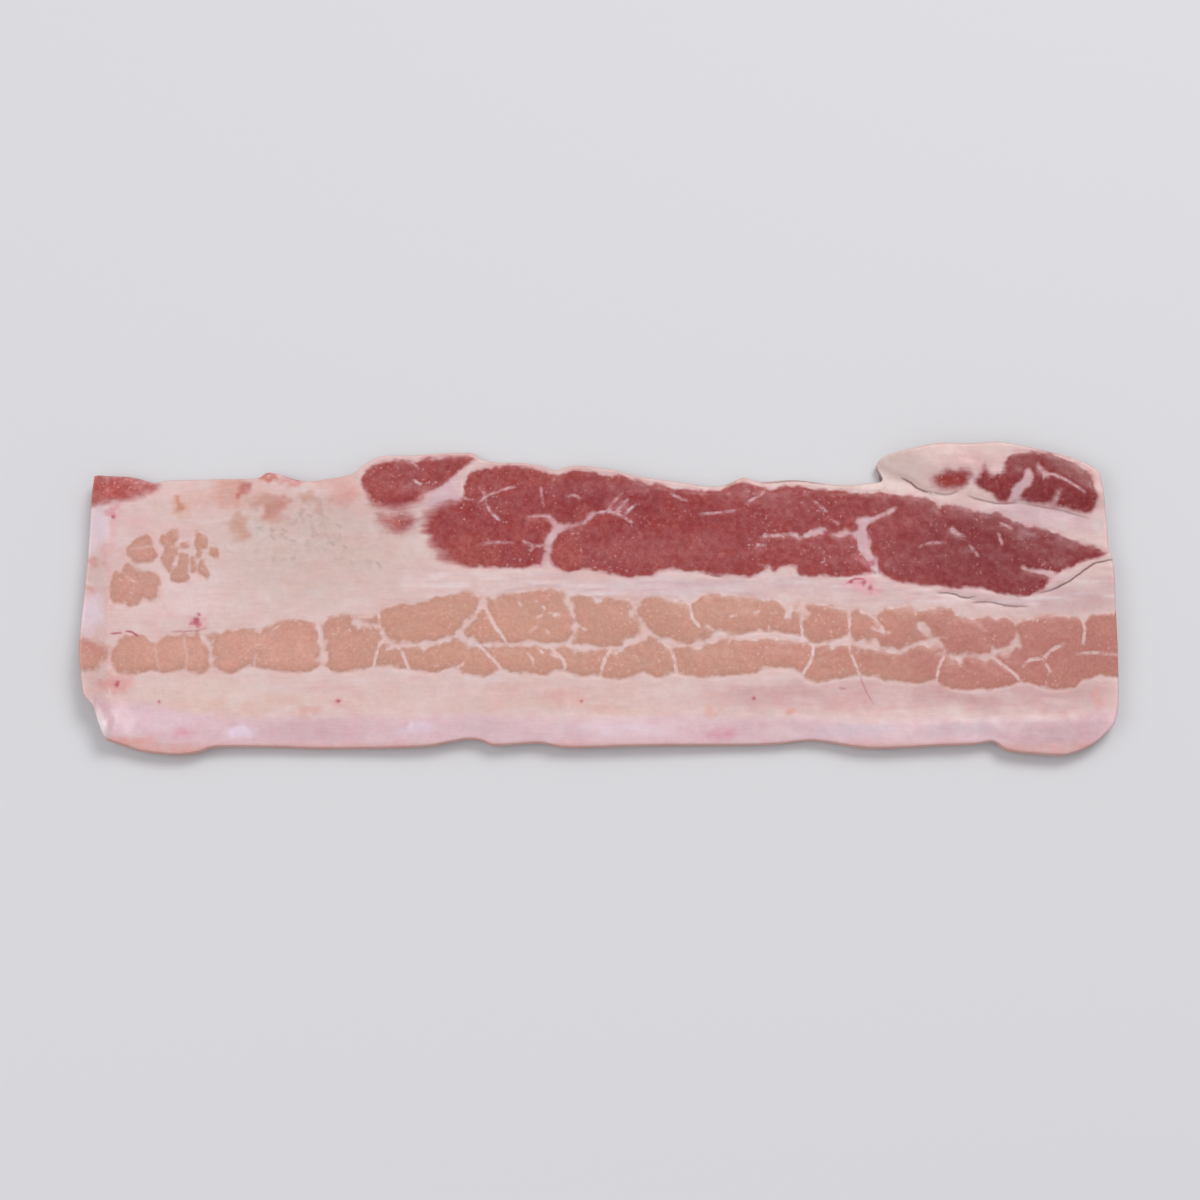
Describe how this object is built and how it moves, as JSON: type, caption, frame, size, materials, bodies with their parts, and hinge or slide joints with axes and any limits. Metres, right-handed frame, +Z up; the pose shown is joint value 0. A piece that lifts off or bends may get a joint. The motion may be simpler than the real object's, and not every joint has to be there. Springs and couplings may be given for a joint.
{
  "type": "sliced pork belly",
  "caption": "Long thin raw slice of pork belly with banded lean and fat, a strip of skin along one side, one end curled up and a loose lobe at the other.",
  "frame": {"origin": "middle of the slice's footprint, on the surface that it lies on", "axes": "+X along the slice, from the curled end to the end with the loose lobe; +Y from the skin side to the meat side; +Z up, out of the upper cut face"},
  "size_m": [0.16, 0.0496, 0.0061],
  "materials": {
    "raw_pork_belly": "moist raw meat and fat, soft satin sheen"
  },
  "bodies": {
    "root": {"pork_belly_slice": "raw_pork_belly"}
  },
  "joints": []
}
